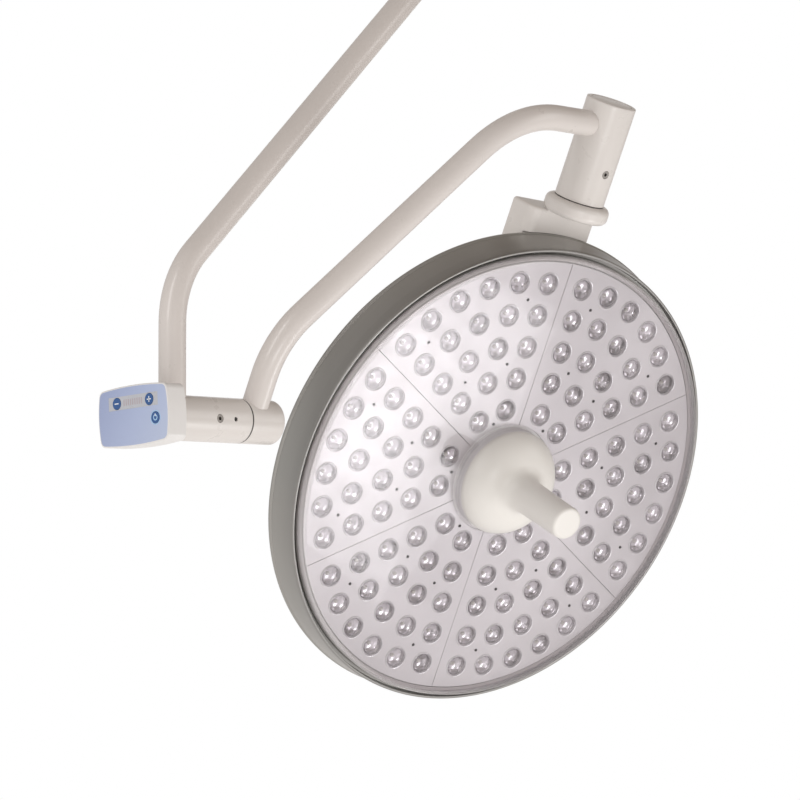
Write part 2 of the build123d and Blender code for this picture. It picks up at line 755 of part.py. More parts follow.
swivel_knuckle()
tilt_knuckle()
turn_knuckle()
outer_arm()
inner_arm()
control_box()
control_box_back()
rim_ring()
back_cover()
base_plate()
lens_panels()
front_cover()
head_bracket()
handle_core()
sterile_handle()

os.makedirs("parts", exist_ok=True)
for node, shape in parts.items():
    export_step(shape, f"parts/{node}.step")
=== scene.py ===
import json
from math import atan2, cos, hypot, pi, radians, sin, tan

import bmesh
import bpy
from mathutils import Matrix, Vector

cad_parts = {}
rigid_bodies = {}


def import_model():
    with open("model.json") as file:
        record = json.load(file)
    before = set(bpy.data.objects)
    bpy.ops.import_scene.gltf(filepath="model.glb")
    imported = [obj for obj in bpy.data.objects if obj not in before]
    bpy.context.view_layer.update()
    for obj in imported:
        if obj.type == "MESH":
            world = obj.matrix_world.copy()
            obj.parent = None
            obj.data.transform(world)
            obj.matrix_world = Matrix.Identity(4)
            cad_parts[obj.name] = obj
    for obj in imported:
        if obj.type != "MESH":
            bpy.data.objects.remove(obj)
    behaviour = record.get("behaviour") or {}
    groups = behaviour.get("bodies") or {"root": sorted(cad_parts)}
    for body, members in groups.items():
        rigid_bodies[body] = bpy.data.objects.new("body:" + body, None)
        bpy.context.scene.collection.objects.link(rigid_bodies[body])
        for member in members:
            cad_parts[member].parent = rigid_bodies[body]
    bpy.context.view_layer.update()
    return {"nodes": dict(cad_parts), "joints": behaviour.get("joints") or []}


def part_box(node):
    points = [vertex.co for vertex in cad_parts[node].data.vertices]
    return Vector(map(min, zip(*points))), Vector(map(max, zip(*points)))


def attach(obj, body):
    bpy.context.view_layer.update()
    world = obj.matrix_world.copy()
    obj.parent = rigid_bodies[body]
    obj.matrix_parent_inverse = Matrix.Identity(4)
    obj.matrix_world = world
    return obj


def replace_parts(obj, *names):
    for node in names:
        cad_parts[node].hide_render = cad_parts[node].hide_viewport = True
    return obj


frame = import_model()

# Surgical light: the looks of every piece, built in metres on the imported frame.
# Local frames: HEAD has +Z out of the lenses and +Y along the turn axis; ARM has +Z along the turn
# axis and +X along the tilt axis; YOKE is the same for the outer arm, with +Z straight up; BOX has
# +Z out of the control panel and +Y up. SWIVEL, TILT_HOUSING, TURN_HOUSING and HUB have +Z along
# their knuckle's axis.

JOINTS = {j["name"]: j for j in frame["joints"]}
MM = 0.001
SHARP = radians(32)           # faces that meet at more than this keep a hard edge
MERGE = 0.000001              # vertices closer than this are one
NOISE_BAND = (0.3, 0.7)       # where most of a noise pattern's values lie


# ---------------------------------------------------------------- frames and measures

def axes_matrix(origin, x_axis, z_axis):
    """A turned and moved frame from its origin, X and Z."""
    z = Vector(z_axis).normalized()
    x = (Vector(x_axis) - z * z.dot(Vector(x_axis))).normalized()
    y = z.cross(x)
    turn = Matrix((x, y, z)).transposed().to_4x4()
    return Matrix.Translation(Vector(origin)) @ turn


TILT = Vector(JOINTS["arm_tilt"]["axis"])
TURN = Vector(JOINTS["head_turn"]["axis"])
SHINE = Vector(JOINTS["handle_focus"]["axis"])
CROSSING = Vector(JOINTS["arm_tilt"]["pos_m"])
HEAD = axes_matrix(JOINTS["handle_focus"]["pos_m"], TURN.cross(SHINE), SHINE)
ARM = axes_matrix(CROSSING, TILT, TURN)
YOKE = axes_matrix(CROSSING, TILT, (0, 0, 1))
BOX_ROLL = radians(3.5)
panel_low, panel_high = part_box("control_faceplate")
box_centre = (panel_low + panel_high) / 2
BOX = axes_matrix((panel_low.x, box_centre.y, box_centre.z),
                  (0, -cos(BOX_ROLL), sin(BOX_ROLL)), (-1, 0, 0))


# ---------------------------------------------------------------- materials

class Paint:
    """A material and the few node calls that its patterns need."""

    def __init__(self, name, base=(0.8, 0.8, 0.8), rough=0.4, metal=0.0, **sockets):
        self.mat = bpy.data.materials.new(name)
        self.mat.use_nodes = True
        self.tree = self.mat.node_tree
        self.shader = self.tree.nodes["Principled BSDF"]
        self.out = self.tree.nodes["Material Output"]
        self.shader.inputs["Base Color"].default_value = (*base, 1.0)
        self.shader.inputs["Roughness"].default_value = rough
        self.shader.inputs["Metallic"].default_value = metal
        for socket, value in sockets.items():
            self.shader.inputs[socket.replace("_", " ")].default_value = value
        self.mat.diffuse_color = (*base, 1.0)

    def node(self, kind, **settings):
        made = self.tree.nodes.new(kind)
        for key, value in settings.items():
            setattr(made, key, value)
        return made

    def link(self, source, target):
        self.tree.links.new(source, target)

    def local(self, matrix=None):
        """Object coordinates, in a local frame where one is given."""
        coords = self.node("ShaderNodeTexCoord").outputs["Object"]
        if matrix is None:
            return coords
        back = matrix.inverted()
        mapping = self.node("ShaderNodeMapping", vector_type="POINT")
        mapping.inputs["Location"].default_value = back.to_translation()
        mapping.inputs["Rotation"].default_value = back.to_euler()
        self.link(coords, mapping.inputs["Vector"])
        return mapping.outputs["Vector"]

    def noise(self, vector, scale, detail=3.0, rough=0.5, stretch=None):
        if stretch is not None:
            mapping = self.node("ShaderNodeMapping", vector_type="POINT")
            mapping.inputs["Scale"].default_value = stretch
            self.link(vector, mapping.inputs["Vector"])
            vector = mapping.outputs["Vector"]
        tex = self.node("ShaderNodeTexNoise")
        tex.inputs["Scale"].default_value = scale
        tex.inputs["Detail"].default_value = detail
        tex.inputs["Roughness"].default_value = rough
        self.link(vector, tex.inputs["Vector"])
        return tex.outputs["Fac"]

    def ramp(self, value, *stops):
        """Colours placed along a value from 0 to 1."""
        ramp = self.node("ShaderNodeValToRGB")
        while len(ramp.color_ramp.elements) < len(stops):
            ramp.color_ramp.elements.new(0.5)
        for element, (place, colour) in zip(ramp.color_ramp.elements, stops):
            element.position = place
            element.color = (*colour, 1.0)
        self.link(value, ramp.inputs["Fac"])
        return ramp.outputs["Color"]

    def math(self, kind, a, b=0.0):
        made = self.node("ShaderNodeMath", operation=kind)
        for socket, value in zip(made.inputs, (a, b)):
            if isinstance(value, (int, float)):
                socket.default_value = value
            else:
                self.link(value, socket)
        return made.outputs[0]

    def spread(self, value, low, high, to_low, to_high):
        """A value's range from low to high, stretched to another range."""
        made = self.node("ShaderNodeMapRange")
        ends = {"From Min": low, "From Max": high, "To Min": to_low, "To Max": to_high}
        for socket, number in ends.items():
            made.inputs[socket].default_value = number
        self.link(value, made.inputs["Value"])
        return made.outputs["Result"]

    def mix(self, factor, a, b, blend="MIX"):
        made = self.node("ShaderNodeMix", data_type="RGBA", blend_type=blend)
        for socket, value in ((made.inputs[0], factor), (made.inputs[6], a), (made.inputs[7], b)):
            if isinstance(value, (int, float)):
                socket.default_value = value
            elif isinstance(value, tuple):
                socket.default_value = (*value, 1.0)
            else:
                self.link(value, socket)
        return made.outputs[2]

    def split(self, vector):
        made = self.node("ShaderNodeSeparateXYZ")
        self.link(vector, made.inputs[0])
        return made.outputs

    def mix_shaders(self, factor, a, b):
        made = self.node("ShaderNodeMixShader")
        for socket, value in zip(made.inputs, (factor, a, b)):
            self.link(value, socket)
        return made.outputs[0]

    def film(self, power, gain, floor):
        """How much of a clear skin mirrors: little face on, more at a slant."""
        slant = self.node("ShaderNodeLayerWeight")
        slant.inputs["Blend"].default_value = 0.5
        grown = self.math("POWER", slant.outputs["Facing"], power)
        return self.math("ADD", self.math("MULTIPLY", grown, gain), floor)

    def head_rings(self):
        """Distance from the head's axis, and height along it."""
        x, y, z = self.split(self.local(HEAD))
        squares = self.math("ADD", self.math("MULTIPLY", x, x), self.math("MULTIPLY", y, y))
        return self.math("SQRT", squares), z

    def colour(self, value):
        self.link(value, self.shader.inputs["Base Color"])

    def uneven(self, vector, scale, detail, low, high):
        """Roughness that wanders between two values."""
        value = self.spread(self.noise(vector, scale, detail), *NOISE_BAND, low, high)
        self.link(value, self.shader.inputs["Roughness"])

    def bump(self, height, distance, strength=1.0):
        made = self.node("ShaderNodeBump")
        made.inputs["Distance"].default_value = distance
        made.inputs["Strength"].default_value = strength
        self.link(height, made.inputs["Height"])
        self.link(made.outputs["Normal"], self.shader.inputs["Normal"])


def painted(name, base, rough=0.3, coat=0.35, peel=0.0000012):
    """Sprayed enamel: faint tone drift, uneven gloss and a fine orange-peel surface."""
    p = Paint(name, base, rough, Coat_Weight=coat, Coat_Roughness=0.2)
    at = p.local()
    drift = p.noise(at, 6.0, 2.0)
    darker = tuple(c * 0.955 for c in base)
    p.colour(p.ramp(drift, (0.3, darker), (0.7, base)))
    p.uneven(at, 45.0, 3.0, rough - 0.04, rough + 0.06)
    p.bump(p.noise(at, 90.0, 1.0), peel)
    return p.mat


def moulded(name, base, rough=0.42, grain=0.00004, **sockets):
    """Moulded plastic: fine spark-eroded grain and a slight tone drift."""
    p = Paint(name, base, rough, **sockets)
    at = p.local()
    darker = tuple(c * 0.965 for c in base)
    p.colour(p.ramp(p.noise(at, 9.0, 2.0), (0.35, darker), (0.65, base)))
    p.uneven(at, 160.0, 3.0, rough - 0.05, rough + 0.05)
    p.bump(p.noise(at, 1500.0, 1.0), grain)
    return p.mat


def metal(name, base, rough=0.35, lines=(1.0, 1.0, 1.0), scale=900.0):
    """Machined metal with tool lines that run where the stretch is small."""
    p = Paint(name, base, rough, 1.0)
    at = p.local()
    grain = p.noise(at, scale, 4.0, 0.6, lines)
    p.colour(p.ramp(grain, (0.3, tuple(c * 0.86 for c in base)), (0.7, base)))
    p.uneven(at, 30.0, 3.0, rough - 0.06, rough + 0.08)
    p.bump(grain, 0.00002)
    return p.mat


RIM_BACK, RIM_FRONT = -0.056, 0.003               # heights between which the rim's tone changes
SHOULDER_START, SHOULDER_END = 0.3195, 0.3262     # radii of the cover's shoulder, where diffuse white stands in for its reflection (painted reflection)
FOIL_REACH = 0.075                                # from the panel's middle to the ends of its diagonal tone slope


def rim_finish():
    """Satin grey rim: lines turned round the ring, a touch lighter towards the back."""
    base = (0.30, 0.295, 0.285)
    p = Paint("rim_satin_grey", base, 0.34, 0.75, Coat_Weight=0.15, Coat_Roughness=0.2)
    radius, z = p.head_rings()
    ring = p.node("ShaderNodeCombineXYZ")
    p.link(radius, ring.inputs["X"])
    p.link(z, ring.inputs["Y"])
    lines = p.noise(ring.outputs[0], 2600.0, 3.0, 0.6)
    tone = p.ramp(p.spread(z, RIM_BACK, RIM_FRONT, 0.0, 1.0),
                  (0.0, (0.42, 0.415, 0.395)), (0.55, (0.36, 0.355, 0.34)), (1.0, base))
    p.colour(p.mix(p.spread(lines, *NOISE_BAND, 0.0, 0.3), tone, (0.28, 0.27, 0.26)))
    p.uneven(p.local(), 14.0, 3.0, 0.29, 0.39)
    p.bump(lines, 0.00001)
    return p.mat


def lets_lamps_through(p, shader):
    """Ends a clear material: lamp rays pass, so that what is inside stays lit."""
    path = p.node("ShaderNodeLightPath")
    pass_by = p.node("ShaderNodeBsdfTransparent")
    both = p.mix_shaders(path.outputs["Is Shadow Ray"], shader, pass_by.outputs[0])
    p.link(both, p.out.inputs["Surface"])


def clear_sheet():
    """Clear hard-coated sheet: a mirror film that grows at a slant, and a painted reflection on the shoulder:
    diffuse white, shaded by the lamps, in place of the bright band it reflects.
    """
    p = Paint("clear_cover", (1.0, 1.0, 1.0), 0.03)
    clear = p.node("ShaderNodeBsdfTransparent")
    clear.inputs["Color"].default_value = (0.975, 0.97, 0.98, 1.0)
    mirror = p.node("ShaderNodeBsdfGlossy")
    mirror.inputs["Roughness"].default_value = 0.04
    sheet = p.mix_shaders(p.film(4.0, 0.55, 0.028), clear.outputs[0], mirror.outputs[0])
    radius = p.head_rings()[0]
    # painted reflection: diffuse white blended in across the shoulder stands in for its bright reflected
    # band; the lamps shade it
    shoulder_reflection_white = p.node("ShaderNodeBsdfDiffuse")
    shoulder_reflection_white.inputs["Color"].default_value = (0.90, 0.885, 0.89, 1.0)
    shoulder_reflection_band = p.spread(radius, SHOULDER_START, SHOULDER_END, 0.0, 0.34)
    p.link(p.mix_shaders(shoulder_reflection_band, sheet, shoulder_reflection_white.outputs[0]), p.out.inputs["Surface"])
    return p.mat


def lens_glass():
    """Clear moulded lens: see-through crown with a bright glossy skin and faint waves."""
    p = Paint("lens_clear", (0.97, 0.965, 0.98), 0.02)
    waves = p.node("ShaderNodeBump")
    waves.inputs["Distance"].default_value = 0.00012
    p.link(p.noise(p.local(), 150.0, 2.0), waves.inputs["Height"])
    clear = p.node("ShaderNodeBsdfTransparent")
    clear.inputs["Color"].default_value = (0.955, 0.945, 0.955, 1.0)
    skin = p.node("ShaderNodeBsdfGlossy")
    skin.inputs["Roughness"].default_value = 0.08
    p.link(waves.outputs["Normal"], skin.inputs["Normal"])
    lets_lamps_through(p, p.mix_shaders(p.film(3.0, 0.8, 0.05), clear.outputs[0], skin.outputs[0]))
    return p.mat


def lens_cup_finish():
    """Bright cup under a lens, clouded differently from lens to lens."""
    p = Paint("lens_reflector", (0.80, 0.79, 0.80), 0.2, 0.85)
    at = p.local()
    cloud = p.noise(at, 34.0, 2.0)
    p.colour(p.ramp(cloud, (0.34, (0.40, 0.385, 0.38)), (0.46, (0.78, 0.77, 0.775)),
                    (0.7, (0.94, 0.93, 0.935))))
    p.uneven(at, 130.0, 2.0, 0.08, 0.2)
    p.bump(p.noise(at, 200.0, 1.0), 0.0004)
    return p.mat


def lens_edge_finish():
    """Polished raised edge of a lens, that catches the light on one side."""
    p = Paint("lens_edge_polished", (0.86, 0.85, 0.855), 0.14, 0.3, Coat_Weight=0.5, Coat_Roughness=0.05)
    at = p.local()
    p.colour(p.ramp(p.noise(at, 60.0, 2.0), (0.35, (0.80, 0.785, 0.79)), (0.65, (0.92, 0.91, 0.915))))
    p.uneven(at, 200.0, 2.0, 0.10, 0.2)
    return p.mat


def panel_finish():
    """Silvery lilac reflector plate behind the cover, cloudy and soft."""
    p = Paint("panel_silver_lilac", (0.60, 0.58, 0.585), 0.36, 0.35)
    at = p.local()
    cloud = p.noise(at, 5.0, 3.0)
    p.colour(p.ramp(cloud, (0.3, (0.55, 0.53, 0.535)), (0.7, (0.67, 0.65, 0.655))))
    p.uneven(at, 40.0, 3.0, 0.30, 0.42)
    p.bump(p.noise(at, 900.0, 2.0), 0.00002)
    return p.mat


def faceplate_finish():
    """Printed foil: lavender blue, lighter towards the lower right, with a fine matt grain."""
    p = Paint("faceplate_lavender", (0.45, 0.52, 0.76), 0.45)
    at = p.local(BOX)
    x, y = p.split(at)[:2]
    slope = p.math("SUBTRACT", x, p.math("MULTIPLY", y, 0.7))
    # a colour slope across the flat foil, darker at the upper left and lighter towards the lower right
    diagonal_tone = p.ramp(p.spread(slope, -FOIL_REACH, FOIL_REACH, 0.0, 1.0), (0.0, (0.36, 0.43, 0.66)),
                        (0.55, (0.45, 0.53, 0.76)), (1.0, (0.52, 0.60, 0.80)))
    speckle = p.spread(p.noise(at, 2500.0, 2.0), *NOISE_BAND, 0.0, 0.05)
    p.colour(p.mix(speckle, diagonal_tone, (0.9, 0.92, 1.0)))
    p.uneven(at, 60.0, 3.0, 0.40, 0.52)
    p.bump(p.noise(at, 3000.0, 1.0), 0.000012)
    return p.mat


# ---------------------------------------------------------------- mesh making

def new_piece(name, bm, mats, body, smooth=True):
    """A finished mesh piece from a bmesh, with its faces turned outwards, on its body."""
    bmesh.ops.remove_doubles(bm, verts=bm.verts, dist=MERGE)
    bmesh.ops.recalc_face_normals(bm, faces=bm.faces)
    mesh = bpy.data.meshes.new(name)
    bm.to_mesh(mesh)
    bm.free()
    piece = bpy.data.objects.new(name, mesh)
    bpy.context.scene.collection.objects.link(piece)
    for mat in mats if isinstance(mats, (list, tuple)) else [mats]:
        mesh.materials.append(mat)
    if smooth:
        for face in mesh.polygons:
            face.use_smooth = True
        mesh.set_sharp_from_angle(angle=SHARP)
    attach(piece, body)
    return piece


def rounded(corners, closed=True, steps=5):
    """Outline points from (radius, height, rounding) corners in millimetres."""
    points = []
    count = len(corners)
    for i, (r, z, fillet) in enumerate(corners):
        here = Vector((r, z))
        if fillet <= 0 or (not closed and i in (0, count - 1)):
            points.append(here)
            continue
        before = Vector(corners[i - 1][:2]) - here
        after = Vector(corners[(i + 1) % count][:2]) - here
        half = before.angle(after) / 2
        reach = min(fillet / tan(half), before.length * 0.49, after.length * 0.49)
        start = here + before.normalized() * reach
        end = here + after.normalized() * reach
        for step in range(steps + 1):
            t = step / steps
            points.append(start * (1 - t) ** 2 + here * 2 * t * (1 - t) + end * t * t)
    return [p * MM for p in points]


ON_AXIS = 1e-7                # a point with a smaller radius lies on the turning axis


def lathe(bm, outline, matrix, segments=128, closed=True):
    """Turns an outline of (radius, height) points about the local Z."""
    rings = []
    for i in range(segments):
        angle = 2 * pi * i / segments
        c, s = cos(angle), sin(angle)
        rings.append([bm.verts.new(matrix @ Vector((p.x * c, p.x * s, p.y))) for p in outline])
    count = len(outline)
    for i in range(segments):
        here, there = rings[i], rings[(i + 1) % segments]
        for j in range(count if closed else count - 1):
            k = (j + 1) % count
            if outline[j].x < ON_AXIS and outline[k].x < ON_AXIS:
                continue
            if outline[j].x < ON_AXIS:
                bm.faces.new((here[j], here[k], there[k]))
            elif outline[k].x < ON_AXIS:
                bm.faces.new((here[j], here[k], there[j]))
            else:
                bm.faces.new((here[j], here[k], there[k], there[j]))


def turned_piece(name, corners, mats, body, matrix=HEAD, segments=128, closed=True, steps=5):
    """A piece turned from (radius, height, rounding) corners in millimetres."""
    bm = bmesh.new()
    lathe(bm, rounded(corners, closed, steps), matrix, segments, closed)
    return new_piece(name, bm, mats, body)


def outline_prism(bm, points, low, high, matrix, round_top=0.0, steps=4):
    """A plate from a closed outline, with a rounded upper edge."""
    centre = sum(points, Vector((0, 0))) / len(points)
    levels = [(0.0, low)]
    if round_top > 0:
        for step in range(steps + 1):
            angle = pi / 2 * step / steps
            levels.append((round_top * (1 - cos(angle)), high - round_top * (1 - sin(angle))))
    else:
        levels.append((0.0, high))
    loops = []
    count = len(points)
    for inset, height in levels:
        loop = []
        for i, p in enumerate(points):
            along = (points[(i + 1) % count] - points[i - 1]).normalized()
            inward = Vector((-along.y, along.x))
            if inward.dot(centre - p) < 0:
                inward = -inward
            q = p + inward * inset
            loop.append(bm.verts.new(matrix @ Vector((q.x, q.y, height))))
        loops.append(loop)
    for a, b in zip(loops, loops[1:]):
        for i in range(count):
            j = (i + 1) % count
            bm.faces.new((a[i], a[j], b[j], b[i]))
    bm.faces.new(loops[0][::-1])
    bm.faces.new(loops[-1])


# ---------------------------------------------------------------- geometry nodes

class Tree:
    """A Geometry Nodes tree with named inputs, ending in Realize Instances and Set Material."""

    def __init__(self, name, **inputs):
        self.tree = bpy.data.node_groups.new(name, "GeometryNodeTree")
        face = self.tree.interface
        face.new_socket("Geometry", in_out="INPUT", socket_type="NodeSocketGeometry")
        self.ids = {}
        for label, value in inputs.items():
            title = label.replace("_", " ").title()
            if isinstance(value, bpy.types.Material):
                kind = "NodeSocketMaterial"
            elif isinstance(value, bpy.types.Object):
                kind = "NodeSocketObject"
            elif isinstance(value, int):
                kind = "NodeSocketInt"
            else:
                kind = "NodeSocketFloat"
            socket = face.new_socket(title, in_out="INPUT", socket_type=kind)
            self.ids[label] = (socket.identifier, value)
        face.new_socket("Geometry", in_out="OUTPUT", socket_type="NodeSocketGeometry")
        self.input = self.tree.nodes.new("NodeGroupInput")
        self.output = self.tree.nodes.new("NodeGroupOutput")

    def node(self, kind, links=None, **settings):
        """A node with its settings and its inputs, by name or number."""
        made = self.tree.nodes.new(kind)
        for key, value in settings.items():
            setattr(made, key, value)
        for socket, value in (links or {}).items():
            target = made.inputs[socket]
            if isinstance(value, bpy.types.NodeSocket):
                self.tree.links.new(value, target)
            else:
                target.default_value = value
        return made

    def get(self, label):
        return self.input.outputs[label.replace("_", " ").title()]

    def close(self, geometry, material):
        real = self.node("GeometryNodeRealizeInstances", {"Geometry": geometry})
        dress = self.node("GeometryNodeSetMaterial", {"Geometry": real.outputs[0], "Material": material})
        self.tree.links.new(dress.outputs[0], self.output.inputs[0])

    def grow(self, name, seed_mesh, matrix, body, drop=()):
        """Runs the tree on a seed mesh and keeps the result as a plain piece on its body."""
        seed = bpy.data.objects.new(name + "_seed", seed_mesh)
        bpy.context.scene.collection.objects.link(seed)
        modifier = seed.modifiers.new("tree", "NODES")
        modifier.node_group = self.tree
        for identifier, value in self.ids.values():
            modifier[identifier] = value
        bpy.context.view_layer.update()
        graph = bpy.context.evaluated_depsgraph_get()
        mesh = bpy.data.meshes.new_from_object(seed.evaluated_get(graph))
        seed.modifiers.remove(modifier)
        bpy.data.objects.remove(seed)
        for thing in drop:
            bpy.data.objects.remove(thing)
        bm = bmesh.new()
        bm.from_mesh(mesh)
        mats = list(mesh.materials)
        bmesh.ops.transform(bm, matrix=matrix, verts=bm.verts)
        return new_piece(name, bm, mats, body)


def points_mesh(name, points, edges=()):
    mesh = bpy.data.meshes.new(name)
    mesh.from_pydata([tuple(p) for p in points], list(edges), [])
    return mesh


def bent_tube(name, points, bends, diameter, mat, matrix, body):
    """A round tube swept along a run of four points, with its own bend radius at each corner."""
    tree = Tree("bent_tube_" + name, tube_diameter=diameter, lower_bend=bends[0], upper_bend=bends[1],
                bend_steps=24, ring_pitch=0.008, sides=56, paint=mat)
    curve = tree.node("GeometryNodeMeshToCurve", {"Mesh": tree.input.outputs["Geometry"]})
    corner = tree.node("GeometryNodeInputIndex")
    upper = tree.node("ShaderNodeMath", {0: corner.outputs[0], 1: 1.5}, operation="GREATER_THAN")
    change = tree.node("ShaderNodeMath", {0: tree.get("upper_bend"), 1: tree.get("lower_bend")},
                       operation="SUBTRACT")
    bend = tree.node("ShaderNodeMath", {0: upper.outputs[0], 1: change.outputs[0], 2: tree.get("lower_bend")},
                     operation="MULTIPLY_ADD")
    fillet = tree.node("GeometryNodeFilletCurve",
                       {"Curve": curve.outputs[0], "Radius": bend.outputs[0],
                        "Count": tree.get("bend_steps"), "Limit Radius": True}, mode="POLY")
    even = tree.node("GeometryNodeResampleCurve",
                     {"Curve": fillet.outputs[0], "Length": tree.get("ring_pitch")}, mode="LENGTH")
    half = tree.node("ShaderNodeMath", {0: tree.get("tube_diameter"), 1: 0.5}, operation="MULTIPLY")
    ring = tree.node("GeometryNodeCurvePrimitiveCircle",
                     {"Resolution": tree.get("sides"), "Radius": half.outputs[0]})
    skin = tree.node("GeometryNodeCurveToMesh",
                     {"Curve": even.outputs[0], "Profile Curve": ring.outputs[0], "Fill Caps": True})
    tree.close(skin.outputs[0], tree.get("paint"))
    run = points_mesh(name + "_run", points, [(i, i + 1) for i in range(len(points) - 1)])
    return tree.grow(name, run, matrix, body)


def repeated(name, template_bm, mat, points, sizes, matrix, body):
    """One small shape put at every point: sizes are its diameter and height."""
    shape_mesh = bpy.data.meshes.new(name + "_shape")
    bmesh.ops.remove_doubles(template_bm, verts=template_bm.verts, dist=0.00001)
    bmesh.ops.recalc_face_normals(template_bm, faces=template_bm.faces)
    template_bm.to_mesh(shape_mesh)
    template_bm.free()
    shape = bpy.data.objects.new(name + "_shape", shape_mesh)
    bpy.context.scene.collection.objects.link(shape)
    tree = Tree("repeat_" + name, shape=shape, diameter=sizes[0], height=sizes[1], finish=mat)
    info = tree.node("GeometryNodeObjectInfo", {"Object": tree.get("shape")})
    scale = tree.node("ShaderNodeCombineXYZ",
                      {0: tree.get("diameter"), 1: tree.get("diameter"), 2: tree.get("height")})
    copies = tree.node("GeometryNodeInstanceOnPoints",
                       {"Points": tree.input.outputs["Geometry"], "Instance": info.outputs["Geometry"],
                        "Scale": scale.outputs[0]})
    tree.close(copies.outputs[0], tree.get("finish"))
    return tree.grow(name, points_mesh(name + "_points", points), matrix, body, drop=[shape])


# ---------------------------------------------------------------- finishes

CREAM = painted("enamel_warm_white", (0.755, 0.71, 0.68), 0.30, 0.4)
CASTING = painted("enamel_casting", (0.77, 0.735, 0.705), 0.30, 0.4)
HANDLE = moulded("handle_ivory", (0.82, 0.80, 0.765), 0.36, Coat_Weight=0.15)
BOX_WHITE = moulded("box_white", (0.86, 0.85, 0.84), 0.36)
BACK_WHITE = moulded("back_cover_white", (0.84, 0.83, 0.81), 0.38, 0.00006)
RIM = rim_finish()
COVER = clear_sheet()
LENS = lens_glass()
PANEL = panel_finish()
FACEPLATE = faceplate_finish()
SEAL = moulded("seal_silicone", (0.46, 0.43, 0.43), 0.5)
STEEL = metal("steel_turned", (0.62, 0.61, 0.60), 0.28)
SCREW = metal("screw_zinc", (0.36, 0.34, 0.32), 0.38)
DARK_SCREW = metal("screw_dark", (0.09, 0.085, 0.085), 0.42)
BLACK = moulded("polymer_black", (0.035, 0.032, 0.033), 0.45)
BUSH = moulded("bush_polymer", (0.75, 0.73, 0.66), 0.5)
ALLOY = metal("heat_sink_alloy", (0.58, 0.58, 0.60), 0.4, (1.0, 12.0, 1.0), 300.0)
REFLECTOR = lens_cup_finish()
LENS_EDGE = lens_edge_finish()
CHIP = moulded("led_chip_pale", (0.74, 0.72, 0.66), 0.25)
GREEN = moulded("circuit_green", (0.03, 0.16, 0.07), 0.4)
LCD = moulded("display_grey", (0.56, 0.58, 0.63), 0.3)
BUTTON = moulded("button_blue", (0.035, 0.115, 0.33), 0.35)
BUTTON_RING = moulded("button_ring_blue", (0.42, 0.66, 0.92), 0.4)
SYMBOL = moulded("symbol_white", (0.88, 0.92, 0.98), 0.45)
BAR = moulded("display_bars", (0.50, 0.44, 0.48), 0.4)

NODE_FINISH = {
    CASTING: ["head_bracket"],
    BOX_WHITE: ["control_box_body", "control_box_back_plate"],
    BLACK: ["latch_clips", "tilt_stop_screw", "focus_hub"],
    BUSH: ["swivel_bushes", "tilt_bushes", "turn_bushes", "swivel_brake_shoe", "tilt_brake_shoe",
           "turn_brake_shoe", "key_switches"],
    STEEL: ["mounting_spindle", "swivel_shaft_nut", "tilt_shaft_nut", "turn_shaft_nut", "tilt_shaft",
            "turn_shaft", "focus_core", "focus_ring", "box_mount_screws", "control_box_screws"],
    SCREW: ["swivel_brake_screw", "tilt_brake_screw", "turn_brake_screw"],
    ALLOY: ["base_plate", "led_driver"],
    GREEN: ["control_circuit_board", "led_boards"],
    SEAL: ["cover_seal"],
    FACEPLATE: ["control_faceplate"],
    LCD: ["display_strip"],
}
for finish, nodes in NODE_FINISH.items():
    for node in nodes:
        cad = frame["nodes"][node]
        if not cad.material_slots:
            cad.data.materials.append(finish)
        for place in cad.material_slots:
            place.material = finish


# ---------------------------------------------------------------- arms

TUBE_D = 0.035
BEND_R = (0.130, 0.175)       # along the centre line: at the foot of the slope, and at its top
FOOT_Z = 0.024                # where the tube leaves the tilt knuckle
KNUCKLE_X = -0.031            # where it runs into the upper knuckle


def yoke_arm(name, node, matrix, leg_x, corner_z, shoulder_x, top_z, body):
    """One arm of the double yoke: up from the tilt knuckle, along the slope, into the upper knuckle."""
    run = [(leg_x, 0, FOOT_Z), (leg_x, 0, corner_z), (shoulder_x, 0, top_z), (KNUCKLE_X, 0, top_z)]
    tube = bent_tube(name, run, BEND_R, TUBE_D, CREAM, matrix, body)
    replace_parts(tube, node)


yoke_arm("outer_arm", "outer_arm_tube", YOKE, -0.6246, 0.1746, -0.0942, 0.680, "outer_arm")
yoke_arm("inner_arm", "inner_arm_tube", ARM, -0.488, 0.1125, -0.1761, 0.4564, "inner_arm")


# ---------------------------------------------------------------- knuckles

SWIVEL = Matrix.Translation(CROSSING + Vector((0, 0, 0.786))) @ Matrix.Rotation(pi, 4, "X")
TILT_HOUSING = Matrix.Translation(CROSSING + Vector((-0.5102, 0, 0))) @ Matrix.Rotation(-pi / 2, 4, "Y")
TURN_HOUSING = ARM @ Matrix.Translation((0, 0, 0.3504))
HUB = ARM @ Matrix.Rotation(pi / 2, 4, "Y")


BORE_FLOOR, BORE_END = 22.0, 60.0     # radii between which the radial holes are cut
BRAKE_D, STOP_D = 11.5, 6.0           # holes of the brake screws and of the tilt's stop screw


